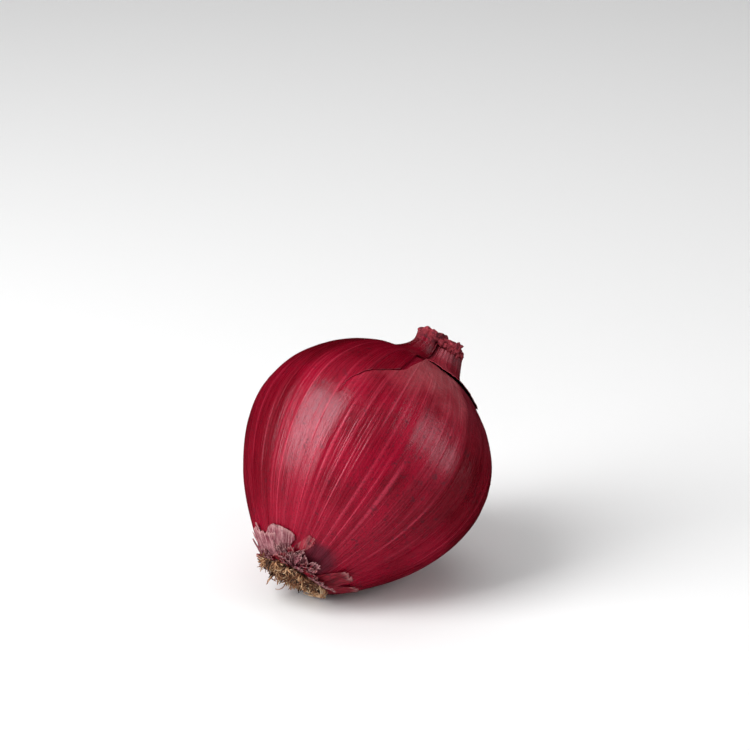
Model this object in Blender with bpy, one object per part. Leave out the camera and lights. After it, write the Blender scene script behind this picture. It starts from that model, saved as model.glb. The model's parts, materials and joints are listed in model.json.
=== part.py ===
"""A whole red onion lying on its side: the bulb with its dried neck and torn skin, and the root tuft.

The bulb is turned about its growth axis from the root plate up to the neck, worked into its grown shape,
and then laid down so that it rests on a small flat spot, with the roots low and the neck high.
Lengths are in metres and angles in radians, and heights are along the growth axis from the widest ring.
"""

import math
import random

import bmesh
import bpy
from mathutils import Matrix, Vector, geometry, noise

# Driving sizes
BULB_RADIUS = 0.0375
AXIS_TILT = math.radians(42.5)  # of the growth axis above the ground
FLAT_DEPTH = 0.00065  # how far the belly is pressed flat where it rests
CLEARANCE = 0.0004  # between the bulb and the root tuft

# The side of the bulb, from the centre of the root plate to the bottom of the neck's mouth.
# Each pair is a height and a distance from the axis, both in bulb radii.
PLATE = -1.19
SIDE = (
    (PLATE, 0.0),
    (PLATE, 0.24),
    (-1.15, 0.335),
    (-1.02, 0.49),
    (-0.80, 0.69),
    (-0.58, 0.84),
    (-0.30, 0.958),
    (0.0, 1.0),
    (0.28, 0.935),
    (0.50, 0.79),
    (0.64, 0.635),
    (0.73, 0.49),
    (0.79, 0.36),
    (0.86, 0.275),
    (0.95, 0.230),
    (1.02, 0.226),
    (1.065, 0.236),
    (1.085, 0.200),
    (1.05, 0.125),
    (0.98, 0.0),
)
SIDE_STEPS = 2  # edges between two of those points
TURN_STEPS = 66
PLATE_HEIGHT = PLATE * BULB_RADIUS

# The grown shape
LOBES = ((2, 0.012, 0.6), (3, 0.009, 2.1), (5, 0.004, 4.0))  # how many round the bulb, depth as a share, phase
RIBS = 22
RIB_HEIGHT = 0.0003
NECK_FOOT = 0.72 * BULB_RADIUS  # the height where the flattening of the neck begins
NECK_FLAT = 0.92 * BULB_RADIUS  # and where it is complete
NECK_THIN_SHARE = 0.46
PLEATS = 9
PLEAT_DEPTH = 0.08
NECK_LEAN = 0.0019
CREST_FOOT = 0.98 * BULB_RADIUS
CREST_TOP = 1.08 * BULB_RADIUS
CREST_WAVE = 0.0014
CREST_WAVE_LENGTH = 0.004

# Directions round the axis. What is torn is placed from FACE, the meridian that looks up and outwards.
FACE = math.radians(-140.4)
NECK_BROADSIDE = FACE + math.pi / 2

# Loose skin
SKIN = 0.0007
SINK = 0.0012  # how far the foot of a flap is sunk into the bulb
FLAP_FOOT = PLATE_HEIGHT + 0.0011
COLLAR_TOP = 0.99 * BULB_RADIUS
COLLAR_EDGE = 0.715 * BULB_RADIUS
COLLAR_STAND = 0.0019
COLLAR_SPAN = (math.radians(1), math.radians(96))
WINDOW_DEPTH = 0.0006
WINDOW_TOP = 0.80 * BULB_RADIUS
WINDOW_FOOT = -0.05 * BULB_RADIUS
WINDOW_SPAN = (math.radians(-150), math.radians(-8))
WINDOW_STEP = math.radians(19)  # how far the tear steps aside below the shoulder
CUTTER = 0.0023

# Roots
PLATE_RADIUS = 0.0088
PLATE_DOME = 0.0018
ROOT_COUNT = 64
ROOT_STEPS = 4
ROOT_RADIUS = 0.00055
ROOT_LENGTHS = (0.0028, 0.0052)
ROOT_CURL = 0.62
ROOT_SINK = 0.0012  # how deep in the plate a root starts
GROUND_GAP = 0.00025
SEED = 11

SKIN_COLOUR = (0.30, 0.012, 0.035, 1.0)
SKIN_ROUGHNESS = 0.34
ROOT_COLOUR = (0.36, 0.22, 0.10, 1.0)
ROOT_ROUGHNESS = 0.8

MERGE = 1e-6


def smoothstep(low, high, value):
    share = min(1.0, max(0.0, (value - low) / (high - low)))
    return share * share * (3 - 2 * share)


def clear_scene():
    for old in list(bpy.data.objects):
        bpy.data.objects.remove(old)


def material(name, colour, roughness):
    made = bpy.data.materials.new(name)
    made.use_nodes = True
    shader = made.node_tree.nodes["Principled BSDF"]
    shader.inputs["Base Color"].default_value = colour
    shader.inputs["Roughness"].default_value = roughness
    return made


def object_from(bm, name, surface=None):
    """Makes an object of a closed bmesh, with its faces pointing out."""
    bmesh.ops.recalc_face_normals(bm, faces=bm.faces)
    if bm.calc_volume(signed=True) < 0:
        bmesh.ops.reverse_faces(bm, faces=bm.faces)
    mesh = bpy.data.meshes.new(name)
    bm.to_mesh(mesh)
    bm.free()
    if surface:
        mesh.materials.append(surface)
    made = bpy.data.objects.new(name, mesh)
    bpy.context.scene.collection.objects.link(made)
    return made


def side_curve():
    """The side of the bulb as a smooth line through the points of SIDE, in the XZ plane."""
    points = [Vector((r, 0.0, h)) * BULB_RADIUS for h, r in SIDE]
    handles = [(b - a) / 6 for a, b in zip([points[0], *points], [*points[1:], points[-1]])]
    line = [points[0]]
    for i in range(len(points) - 1):
        bend = [points[i], points[i] + handles[i], points[i + 1] - handles[i + 1], points[i + 1]]
        line += geometry.interpolate_bezier(*bend, SIDE_STEPS + 1)[1:]
    for end in (line[0], line[-1]):
        end.x = 0.0
    for point in line:
        point.z = max(point.z, PLATE_HEIGHT)
    return line


def side_radius(line, height):
    """Radius of the turned side at a height below the crest of the neck."""
    for a, b in zip(line, line[1:]):
        if a.z <= height <= b.z and b.z - a.z > MERGE:
            return a.x + (b.x - a.x) * (height - a.z) / (b.z - a.z)
    return 0.0


def grown(point):
    """Where a point of the plain turned bulb lies on the grown one."""
    radius, turn, height = math.hypot(point.x, point.y), math.atan2(point.y, point.x), point.z
    body = 1 - smoothstep(0.3 * BULB_RADIUS, NECK_FOOT, height)
    off_plate = smoothstep(PLATE_HEIGHT, -0.8 * BULB_RADIUS, height)
    lobe = sum(depth * math.cos(count * turn + phase) for count, depth, phase in LOBES)
    radius *= 1 + lobe * (0.35 + 0.65 * body) * off_plate
    ridge = 1 - abs(math.sin(RIBS * turn / 2 + 0.8 * math.sin(3 * turn)))
    radius += RIB_HEIGHT * (ridge - 0.4) * off_plate * body
    neck = smoothstep(NECK_FOOT, NECK_FLAT, height)
    radius *= 1 + PLEAT_DEPTH * neck * math.cos(PLEATS * turn + 1.3 * math.sin(2 * turn))
    wide = radius * math.cos(turn - NECK_BROADSIDE) + NECK_LEAN * neck
    thin = radius * math.sin(turn - NECK_BROADSIDE) * (1 - (1 - NECK_THIN_SHARE) * neck)
    crest = smoothstep(CREST_FOOT, CREST_TOP, height)
    wave = noise.noise(Vector((wide, thin, 4 * CREST_WAVE_LENGTH)) / CREST_WAVE_LENGTH)
    height += CREST_WAVE * crest * wave
    cos, sin = math.cos(NECK_BROADSIDE), math.sin(NECK_BROADSIDE)
    return Vector((wide * cos - thin * sin, wide * sin + thin * cos, height))


def on_skin(line, turn, height, lift):
    """The point that is lift above the grown side of the bulb."""
    step = 0.0004
    radius = side_radius(line, height)
    slope = (side_radius(line, height + step) - side_radius(line, height - step)) / (2 * step)
    out = Vector((math.cos(turn), math.sin(turn), -slope)).normalized()
    return grown(Vector((radius * math.cos(turn), radius * math.sin(turn), height))) + out * lift


def turned(line, steps):
    """The surface that a line makes when it is turned about the axis."""
    bm = bmesh.new()
    verts = [bm.verts.new(point) for point in line]
    edges = [bm.edges.new(pair) for pair in zip(verts, verts[1:])]
    bmesh.ops.spin(
        bm, geom=verts + edges, cent=(0, 0, 0), axis=(0, 0, 1), angle=2 * math.pi, steps=steps, use_merge=True
    )
    bmesh.ops.remove_doubles(bm, verts=bm.verts, dist=MERGE)
    return bm


def grown_bulb(line):
    bm = turned(line, TURN_STEPS)
    for vert in bm.verts:
        vert.co = grown(vert.co)
    return bm


def cut_at_ground(bm):
    """Cuts off what is below the ground and returns the edges of the cut."""
    whole = bm.verts[:] + bm.edges[:] + bm.faces[:]
    cut = bmesh.ops.bisect_plane(bm, geom=whole, plane_co=(0, 0, 0), plane_no=(0, 0, 1), clear_inner=True)
    return [item for item in cut["geom_cut"] if isinstance(item, bmesh.types.BMEdge)]


def lying(line):
    """The matrix that lays the onion on its flat spot, with the roots towards -X and the neck up towards +X."""
    cos, sin = math.cos(AXIS_TILT), math.sin(AXIS_TILT)
    laid = Matrix(((sin, 0, cos), (0, 1, 0), (-cos, 0, sin))).to_4x4()
    bm = grown_bulb(line)
    bm.transform(laid)
    lift = Matrix.Translation((0, 0, -FLAT_DEPTH - min(vert.co.z for vert in bm.verts)))
    bm.transform(lift)
    ends = [vert.co for edge in cut_at_ground(bm) for vert in edge.verts]
    centre = sum(ends, Vector()) / len(ends)
    bm.free()
    return Matrix.Translation((-centre.x, -centre.y, 0)) @ lift @ laid


def bulb_body(line, laid, skin):
    bm = grown_bulb(line)
    bm.transform(laid)
    rim = cut_at_ground(bm)
    for edge in rim:
        for vert in edge.verts:
            vert.co.z = 0.0
    bmesh.ops.contextual_create(bm, geom=rim)
    bmesh.ops.triangulate(bm, faces=bm.faces)
    return object_from(bm, "bulb", skin)


def sheet(name, columns, rows, place, thickness, laid):
    """A sheet of skin. place gives the point at (across, along), each from 0 to 1, and across runs round."""
    bm = bmesh.new()
    bmesh.ops.create_grid(bm, x_segments=columns, y_segments=rows, size=0.5)
    for vert in bm.verts:
        vert.co = laid @ place(vert.co.x + 0.5, vert.co.y + 0.5)
    bmesh.ops.recalc_face_normals(bm, faces=bm.faces)
    bmesh.ops.solidify(bm, geom=bm.faces[:], thickness=thickness)
    bmesh.ops.triangulate(bm, faces=bm.faces)
    return object_from(bm, name)


def root_flap(line, laid, turn, width, length, lift, drift, ragged):
    """A flap of old skin that grows up the bulb from the rim of the root plate.

    turn is its direction from FACE in degrees, width the degrees that it spans, length how far up the axis it
    reaches, lift how far its end stands off, drift how many degrees the end leans, and ragged how torn it is.
    """

    def place(across, along):
        side = 2 * across - 1
        torn = ragged * noise.noise(Vector((across * 4.0, turn / 19, 1.0)))
        reach = length * along * (1 - 0.4 * side * side + torn)
        degrees = turn + width / 2 * side * (1 - 0.3 * along * along) + drift * along
        stand = -SINK + (lift + SINK) * along**0.7
        return on_skin(line, FACE + math.radians(degrees), FLAP_FOOT + reach, stand)

    return sheet("root_flap", 8, 6, place, SKIN, laid)


def collar(line, laid):
    """The torn skirt of skin on one side of the neck, with its free edge standing off the shoulder."""

    def place(across, along):
        turn = FACE + COLLAR_SPAN[0] + (COLLAR_SPAN[1] - COLLAR_SPAN[0]) * across
        stand = -SINK + (COLLAR_STAND * (0.3 + 0.7 * across) + SINK) * smoothstep(0.1, 0.8, along)
        torn = 0.0004 * math.sin(11 * turn)
        return on_skin(line, turn, COLLAR_TOP + (COLLAR_EDGE - COLLAR_TOP + torn) * along, stand)

    return sheet("collar", 13, 7, place, SKIN, laid)


def window(line, laid):
    """The slab to cut out where the outer skin is torn off the shoulder. Its step fades towards the belly."""

    def place(across, along):
        height = WINDOW_FOOT + (WINDOW_TOP - WINDOW_FOOT) * along
        aside = 1 - smoothstep(0.2 * BULB_RADIUS, 0.52 * BULB_RADIUS, height)
        tear = WINDOW_SPAN[1] - WINDOW_STEP * aside + 0.02 * math.sin(height * 1500)
        turn = FACE + WINDOW_SPAN[0] + (tear - WINDOW_SPAN[0]) * across
        depth = WINDOW_DEPTH * smoothstep(0.0, 0.35, along) * smoothstep(0.0, 0.3, across + 0.02)
        return on_skin(line, turn, height, CUTTER - depth)

    return sheet("window", 18, 13, place, CUTTER, laid)


def fuse(target, pieces, operation):
    """Joins pieces to the target, or cuts them from it, and removes them."""
    group = bpy.data.collections.new(operation.lower())
    bpy.context.scene.collection.children.link(group)
    for piece in pieces:
        bpy.context.scene.collection.objects.unlink(piece)
        group.objects.link(piece)
    boolean = target.modifiers.new(operation.title(), "BOOLEAN")
    boolean.operation = operation
    boolean.operand_type = "COLLECTION"
    boolean.collection = group
    boolean.solver = "MANIFOLD"
    bpy.context.view_layer.update()
    graph = bpy.context.evaluated_depsgraph_get()
    fused = bpy.data.meshes.new_from_object(target.evaluated_get(graph))
    target.modifiers.clear()
    target.data = fused
    for piece in pieces:
        bpy.data.objects.remove(piece)
    bpy.data.collections.remove(group)


def make_bulb(line, laid):
    bulb = bulb_body(line, laid, material("dry red skin", SKIN_COLOUR, SKIN_ROUGHNESS))
    loose_skin = [
        root_flap(line, laid, turn=-54, width=64, length=0.0082, lift=0.0011, drift=10, ragged=0.25),
        root_flap(line, laid, turn=-17, width=18, length=0.0046, lift=0.0009, drift=4, ragged=0.4),
        root_flap(line, laid, turn=24, width=20, length=0.0062, lift=0.0019, drift=30, ragged=0.3),
        root_flap(line, laid, turn=68, width=22, length=0.0062, lift=0.0012, drift=10, ragged=0.3),
        root_flap(line, laid, turn=-108, width=34, length=0.0058, lift=0.0009, drift=-6, ragged=0.5),
        root_flap(line, laid, turn=-152, width=40, length=0.0070, lift=0.0010, drift=8, ragged=0.4),
        collar(line, laid),
    ]
    fuse(bulb, loose_skin, "UNION")
    fuse(bulb, [window(line, laid)], "DIFFERENCE")
    bulb.data.shade_smooth()
    bulb.data.set_sharp_from_angle(angle=math.radians(35))


def root_path(rng, laid):
    """The bent path of one dried root, from inside the plate outwards, clear of the bulb and of the ground."""
    turn = rng.uniform(0, 2 * math.pi)
    spread = math.sqrt(rng.uniform(0.02, 1.0))
    top = PLATE_HEIGHT - CLEARANCE
    away = Vector((math.cos(turn), math.sin(turn), 0))
    down = Vector((0, 0, -1))
    point = away * spread * (PLATE_RADIUS - ROOT_SINK) + down * (ROOT_SINK - top)
    heading = (away * (0.15 + 1.5 * spread) + down).normalized()
    curl = Vector((rng.gauss(0, 1), rng.gauss(0, 1), rng.gauss(0, 1))).normalized()
    stride = rng.uniform(*ROOT_LENGTHS) / ROOT_STEPS
    path = [laid @ point]
    for _ in range(ROOT_STEPS):
        point = point + heading * stride
        point.z = min(point.z, top - 1.6 * ROOT_RADIUS)
        placed = laid @ point
        placed.z = max(placed.z, GROUND_GAP + ROOT_RADIUS)
        path.append(placed)
        heading = (heading + curl.cross(heading) * ROOT_CURL).normalized()
    return path


def root_solid(path):
    """One root as a tapering square tube along its path."""
    line = bpy.data.curves.new("root", "CURVE")
    line.dimensions = "3D"
    line.bevel_depth = ROOT_RADIUS
    line.bevel_resolution = 0
    line.use_fill_caps = True
    spline = line.splines.new("POLY")
    spline.points.add(len(path) - 1)
    for n, (point, place) in enumerate(zip(spline.points, path)):
        point.co = (*place, 1.0)
        point.radius = 1.15 - 0.6 * n / ROOT_STEPS
    curve = bpy.data.objects.new("root", line)
    bpy.context.scene.collection.objects.link(curve)
    bpy.context.view_layer.update()
    graph = bpy.context.evaluated_depsgraph_get()
    bm = bmesh.new()
    bm.from_mesh(bpy.data.meshes.new_from_object(curve.evaluated_get(graph)))
    bpy.data.objects.remove(curve)
    bmesh.ops.remove_doubles(bm, verts=bm.verts, dist=MERGE)
    bmesh.ops.triangulate(bm, faces=bm.faces)
    return object_from(bm, "root")


def make_root_tuft(laid):
    """The corky plate and the roots that grow from it, as one solid."""
    top = PLATE_HEIGHT - CLEARANCE
    dome = [(share, top - PLATE_DOME * math.sqrt(1 - share * share)) for share in (0, 0.4, 0.7, 0.9, 1)]
    outline = [Vector((share * PLATE_RADIUS, 0, height)) for share, height in [*dome, (0.5, top), (0, top)]]
    bm = turned(outline, 28)
    bm.transform(laid)
    bmesh.ops.triangulate(bm, faces=bm.faces)
    tuft = object_from(bm, "root_tuft", material("dried root", ROOT_COLOUR, ROOT_ROUGHNESS))
    rng = random.Random(SEED)
    fuse(tuft, [root_solid(root_path(rng, laid)) for _ in range(ROOT_COUNT)], "UNION")


def main():
    clear_scene()
    line = side_curve()
    laid = lying(line)
    make_bulb(line, laid)
    make_root_tuft(laid)


main()
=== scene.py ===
"""A whole red onion on a pale studio floor: glossy skin, torn papery layers, dried neck and root tuft.

The CAD nodes give the form. Each piece here repeats that form with finer relief, or lies on it.
Lengths are in metres. Places on the onion are given in its growth frame: +Z runs along the growth axis
from the root plate to the neck, with height 0 at the widest ring. Degrees are counted round that axis from
FACE, and turns are radians round it from +X.
"""

import json
import math
import random

import bmesh
import bpy
import numpy as np
from bpy.props import FloatProperty, FloatVectorProperty, IntProperty, PointerProperty
from mathutils import Matrix, Vector, geometry, noise

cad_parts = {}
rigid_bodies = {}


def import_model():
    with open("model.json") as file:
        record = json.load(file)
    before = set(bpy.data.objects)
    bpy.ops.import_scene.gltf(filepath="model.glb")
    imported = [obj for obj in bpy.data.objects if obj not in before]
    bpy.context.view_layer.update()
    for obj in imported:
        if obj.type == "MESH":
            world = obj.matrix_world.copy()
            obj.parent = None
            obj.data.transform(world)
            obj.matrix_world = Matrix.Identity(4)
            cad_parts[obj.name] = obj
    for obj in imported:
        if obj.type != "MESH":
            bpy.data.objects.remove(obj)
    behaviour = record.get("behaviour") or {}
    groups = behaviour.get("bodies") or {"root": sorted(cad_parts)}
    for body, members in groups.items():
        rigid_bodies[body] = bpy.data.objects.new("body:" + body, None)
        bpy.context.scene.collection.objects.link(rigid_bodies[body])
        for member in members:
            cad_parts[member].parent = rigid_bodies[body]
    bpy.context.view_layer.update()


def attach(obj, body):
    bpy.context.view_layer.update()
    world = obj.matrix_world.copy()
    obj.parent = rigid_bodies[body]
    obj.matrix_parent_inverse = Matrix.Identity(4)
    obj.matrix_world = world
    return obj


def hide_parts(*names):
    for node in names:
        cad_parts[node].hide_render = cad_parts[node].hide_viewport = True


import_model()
CRUMPLE_SEED = 3
noise.seed_set(CRUMPLE_SEED)  # without a seed, vector noise follows the clock

bl_info = {
    "name": "Red Onion",
    "version": (1, 0, 0),
    "blender": (4, 5, 0),
    "location": "3D View > Sidebar > Onion",
    "description": "Builds a whole red onion with torn skin, dried neck and root tuft",
    "category": "Object",
}

# Driving sizes, as in the solid model
BULB_RADIUS = 0.0375
AXIS_TILT = math.radians(42.5)
RING_CENTRE = Vector((0.010485, 0.000143, 0.039008))  # the centre of the widest ring, over the flat spot
PLATE = -1.19
SIDE = (
    (PLATE, 0.0),
    (PLATE, 0.24),
    (-1.15, 0.335),
    (-1.02, 0.49),
    (-0.80, 0.69),
    (-0.58, 0.84),
    (-0.30, 0.958),
    (0.0, 1.0),
    (0.28, 0.935),
    (0.50, 0.79),
    (0.64, 0.635),
    (0.73, 0.49),
    (0.79, 0.36),
    (0.86, 0.275),
    (0.95, 0.230),
    (1.02, 0.226),
    (1.065, 0.236),
    (1.085, 0.200),
    (1.05, 0.125),
    (0.98, 0.0),
)
PLATE_HEIGHT = PLATE * BULB_RADIUS
CREST_HEIGHT = 1.085 * BULB_RADIUS

LOBES = ((2, 0.012, 0.6), (3, 0.009, 2.1), (5, 0.004, 4.0))
RIBS = 22
RIB_HEIGHT = 0.0003
NECK_FOOT = 0.72 * BULB_RADIUS
NECK_FLAT = 0.92 * BULB_RADIUS
NECK_THIN_SHARE = 0.46
PLEATS = 9
PLEAT_DEPTH = 0.08
FINE_PLEATS = 27
FINE_PLEAT_SHARE = 0.35
NECK_LEAN = 0.0019
NECK_TAPERS = (0.24, 0.14)  # how much narrower the crest is on either side, seen from the face
CREST_FOOT = 0.98 * BULB_RADIUS
CREST_TOP = 1.08 * BULB_RADIUS
CREST_WAVE = 0.0014
CREST_WAVE_LENGTH = 0.004
NECK_VALLEY = (8.0, 19.0, 0.60)  # its direction and half width in degrees from FACE, and its depth as a share
FACE = -140.4  # degrees round the growth axis, the side that the photograph shows
NECK_BROADSIDE = math.radians(FACE + 90)

# How far layers of dry skin lie under the outside, how thick they are, and how far loose skin and the middle
# lines of roots stay above the floor
SECOND_SKIN_DEPTH = 0.00022
BODY_DEPTH = 0.0006
SKIN = 0.00014
GROUND_GAP = 0.0002
ROOT_GAP = 0.00045

# The torn edges on the face side, as height in bulb radii and degrees from FACE
OUTER_TEAR = (
    (-0.3, -27.5),
    (0.0, -27.0),
    (0.1, -26.0),
    (0.21, -24.6),
    (0.29, -21.6),
    (0.40, -13.6),
    (0.47, -7.4),
    (0.50, -5.6),
    (0.60, -3.2),
    (0.74, 2.4),
    (0.9, 3.0),
    (1.1, 3.0),
)
SECOND_TEAR = (
    (-0.3, -27.4),
    (0.0, -27.3),
    (0.1, -26.6),
    (0.21, -25.5),
    (0.30, -22.6),
    (0.41, -14.9),
    (0.48, -9.0),
    (0.51, -8.2),
    (0.60, -7.9),
    (0.74, -7.3),
    (0.9, -6.0),
    (1.1, -6.0),
)

STAIN = (9.0, -1.11)  # the brown stain by the root plate, in degrees from FACE and bulb radii up the axis
STAIN_STRETCH = 2.6  # how much longer it is round the axis than along it

# Sectors darkened by painted shade at the left and right sides of the bulb: middle and half width in degrees
# from FACE, the height where they start in bulb radii, and how strong the painted shade is
PAINTED_SHADE_SECTORS = ((-86.0, 36.0, -1.2, 0.75), (78.0, 39.0, -0.65, 0.95))

# The dried roots and the root plate
PLATE_RADIUS = 0.0094
PLATE_BULGE = 0.0020
TUFT_RADIUS = 0.0088
TUFT_SIDE = math.radians(FACE - 75)  # the turn towards which the tuft sits off the axis
TUFT_SHIFT = 0.0015
ROOT_STEPS = 9
WISPS = 44

# Counts of faces, points and pieces, and the seeds of the random draws
BODY_STEPS = 14
BODY_FACES = 330
PLATE_STEPS = 14
PLATE_FACES = 90
FLAP_GRID = (44, 36)
FLAKE_GRID = (22, 14)
FLAKE_SEED = 21
BACK_FLAKES = 24
FACE_FLAKES = 22
ROOT_SEED = 8

MERGE = 1e-7  # points closer than this are one
CRUSHED_FROM = 0.35  # the edge value from which a face of the body is crushed neck
FLOOR_REACH = 3.0  # from the middle of the floor to its sides


def smoothstep(low, high, value):
    share = min(1.0, max(0.0, (value - low) / (high - low)))
    return share * share * (3 - 2 * share)


def rise(low, high, height):
    """The smoothstep of a height, between limits in bulb radii."""
    return smoothstep(low * BULB_RADIUS, high * BULB_RADIUS, height)


def wobble(x, y, z):
    """Smooth noise between -1 and 1."""
    return noise.noise(Vector((x, y, z)))


def around(turn, z=0.0):
    """A point one unit from the growth axis, in the growth frame."""
    return Vector((math.cos(turn), math.sin(turn), z))


def side_line(steps):
    """The side of the bulb as a smooth line through the points of SIDE, with steps edges between points."""
    points = [Vector((r, 0.0, h)) * BULB_RADIUS for h, r in SIDE]
    handles = [(b - a) / 6 for a, b in zip([points[0], *points], [*points[1:], points[-1]])]
    line = [points[0]]
    for i in range(len(points) - 1):
        bend = [points[i], points[i] + handles[i], points[i + 1] - handles[i + 1], points[i + 1]]
        line += geometry.interpolate_bezier(*bend, steps + 1)[1:]
    for end in (line[0], line[-1]):
        end.x = 0.0
    for point in line:
        point.z = max(point.z, PLATE_HEIGHT)
    return line


def rising_side():
    """Heights, radii and slopes of the side from the rim of the root plate to the crest of the neck."""
    line = side_line(12)
    top = max(range(len(line)), key=lambda n: line[n].z)
    rising = [point for point in line[:top] if point.x > 0.2 * BULB_RADIUS or point.z > 0]
    heights = np.maximum.accumulate([point.z for point in rising]) + np.arange(len(rising)) * 1e-9
    radii = np.array([point.x for point in rising])
    return heights, radii, np.gradient(radii, heights)


HEIGHTS, RADII, SLOPES = rising_side()


def from_face(turn):
    """A turn in radians as degrees from FACE, between -180 and 180."""
    return (math.degrees(turn) - FACE + 180) % 360 - 180


def relief(turn, height):
    """Fine swell of the skin that the faceted solid leaves out: soft waves, veins, puckers at the root."""
    ring = around(turn)
    up = height / BULB_RADIUS
    wave = noise.noise(ring * 2.3 + Vector((0, 0, up * 1.4))) * 0.00028
    ripple = noise.noise(ring * 7.5 + Vector((3, 0, up * 0.9))) * 0.00014
    vein = abs(noise.noise(ring * 11 + Vector((0, 7, up * 0.25))))
    root_pucker = smoothstep(-0.8, -1.1, up) if up < 0 else 0.0
    pucker = root_pucker * math.cos(31 * turn + 2 * math.sin(5 * turn)) * 0.00022
    fade = smoothstep(PLATE, PLATE + 0.06, up) * (1 - smoothstep(0.7, 0.85, up))
    return (wave + ripple - 0.00016 * min(1.0, vein * 6) + pucker) * fade


def grown(point):
    """Where a point of the plain turned bulb lies on the grown one. The large forms are the solid's."""
    radius, turn, height = math.hypot(point.x, point.y), math.atan2(point.y, point.x), point.z
    body = 1 - smoothstep(0.3 * BULB_RADIUS, NECK_FOOT, height)
    off_plate = smoothstep(PLATE_HEIGHT, -0.8 * BULB_RADIUS, height)
    lobe = sum(depth * math.cos(count * turn + phase) for count, depth, phase in LOBES)
    radius *= 1 + lobe * (0.35 + 0.65 * body) * off_plate
    ridge = 1 - abs(math.sin(RIBS * turn / 2 + 0.8 * math.sin(3 * turn)))
    radius += RIB_HEIGHT * (ridge - 0.4) * off_plate * body
    radius += relief(turn, height) * smoothstep(0, 0.2 * BULB_RADIUS, radius)
    neck = smoothstep(NECK_FOOT, NECK_FLAT, height)
    fold = math.cos(PLEATS * turn + 1.3 * math.sin(2 * turn))
    fold += FINE_PLEAT_SHARE * math.cos(FINE_PLEATS * turn + 2 * math.sin(3 * turn))
    off_valley = (from_face(turn) - NECK_VALLEY[0]) / NECK_VALLEY[1]
    radius *= 1 + neck * (PLEAT_DEPTH * fold - NECK_VALLEY[2] * math.exp(-off_valley * off_valley))
    wide = radius * math.cos(turn - NECK_BROADSIDE) + NECK_LEAN * neck
    if wide < 0:
        wide *= 1 - NECK_TAPERS[0] * smoothstep(0.80 * BULB_RADIUS, CREST_FOOT, height)
    else:
        wide *= 1 - NECK_TAPERS[1] * smoothstep(0.95 * BULB_RADIUS, CREST_TOP, height)
    thin = radius * math.sin(turn - NECK_BROADSIDE) * (1 - (1 - NECK_THIN_SHARE) * neck)
    crest = smoothstep(CREST_FOOT, CREST_TOP, height)
    wave = noise.noise(Vector((wide, thin, 4 * CREST_WAVE_LENGTH)) / CREST_WAVE_LENGTH)
    height += CREST_WAVE * crest * wave
    cos, sin = math.cos(NECK_BROADSIDE), math.sin(NECK_BROADSIDE)
    return Vector((wide * cos - thin * sin, wide * sin + thin * cos, height))


def outwards(turn, height):
    slope = float(np.interp(height, HEIGHTS, SLOPES))
    return around(turn, -max(-4.0, min(4.0, slope))).normalized()


def on_skin(turn, height, lift):
    """The point that is lift above the grown skin."""
    radius = float(np.interp(height, HEIGHTS, RADII))
    plain = Vector((radius * math.cos(turn), radius * math.sin(turn), height))
    return grown(plain) + outwards(turn, height) * lift


def spot(degrees, height, lift):
    """The point that is lift above the skin, in degrees from FACE."""
    return on_skin(math.radians(FACE + degrees), height, lift)


def recess(height):
    """How far the body lies under the outer skin, which it carries from the belly up."""
    return BODY_DEPTH * rise(-0.1, 0.5, height)


def laid_down():
    """The matrix from the growth frame to the world, as the solid lies."""
    cos, sin = math.cos(AXIS_TILT), math.sin(AXIS_TILT)
    return Matrix.Translation(RING_CENTRE) @ Matrix(((sin, 0, cos), (0, 1, 0), (-cos, 0, sin))).to_4x4()


LAID = laid_down()


def on_floor(point, gap=GROUND_GAP):
    """The point in the world, kept above the floor."""
    place = LAID @ point
    place.z = max(place.z, gap)
    return place


def crumple(point, size, depth):
    """A small wandering shift, as in paper that was crushed."""
    return noise.turbulence_vector(point / size, 2, False) * depth


class Wire:
    """A shader socket that takes part in Python sums. Each operator adds its Math node."""

    def __init__(self, graph, socket):
        self.graph = graph
        self.socket = socket

    def math(self, operation, *values):
        return self.graph.node("ShaderNodeMath", {"operation": operation}, dict(enumerate(values)))

    def __add__(self, other):
        return self.math("ADD", self, other)

    def __radd__(self, other):
        return self.math("ADD", other, self)

    def __sub__(self, other):
        return self.math("SUBTRACT", self, other)

    def __rsub__(self, other):
        return self.math("SUBTRACT", other, self)

    def __mul__(self, other):
        return self.math("MULTIPLY", self, other)

    def __rmul__(self, other):
        return self.math("MULTIPLY", other, self)

    def __abs__(self):
        return self.math("ABSOLUTE", self)

    def ramp(self, low, high):
        """0 at low and 1 at high, with soft ends; low may be the larger."""
        settings = {"interpolation_type": "SMOOTHSTEP"}
        if low < high:
            return self.graph.node("ShaderNodeMapRange", settings, {0: self, 1: low, 2: high, 3: 0.0, 4: 1.0})
        return self.graph.node("ShaderNodeMapRange", settings, {0: self, 1: high, 2: low, 3: 1.0, 4: 0.0})


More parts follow.
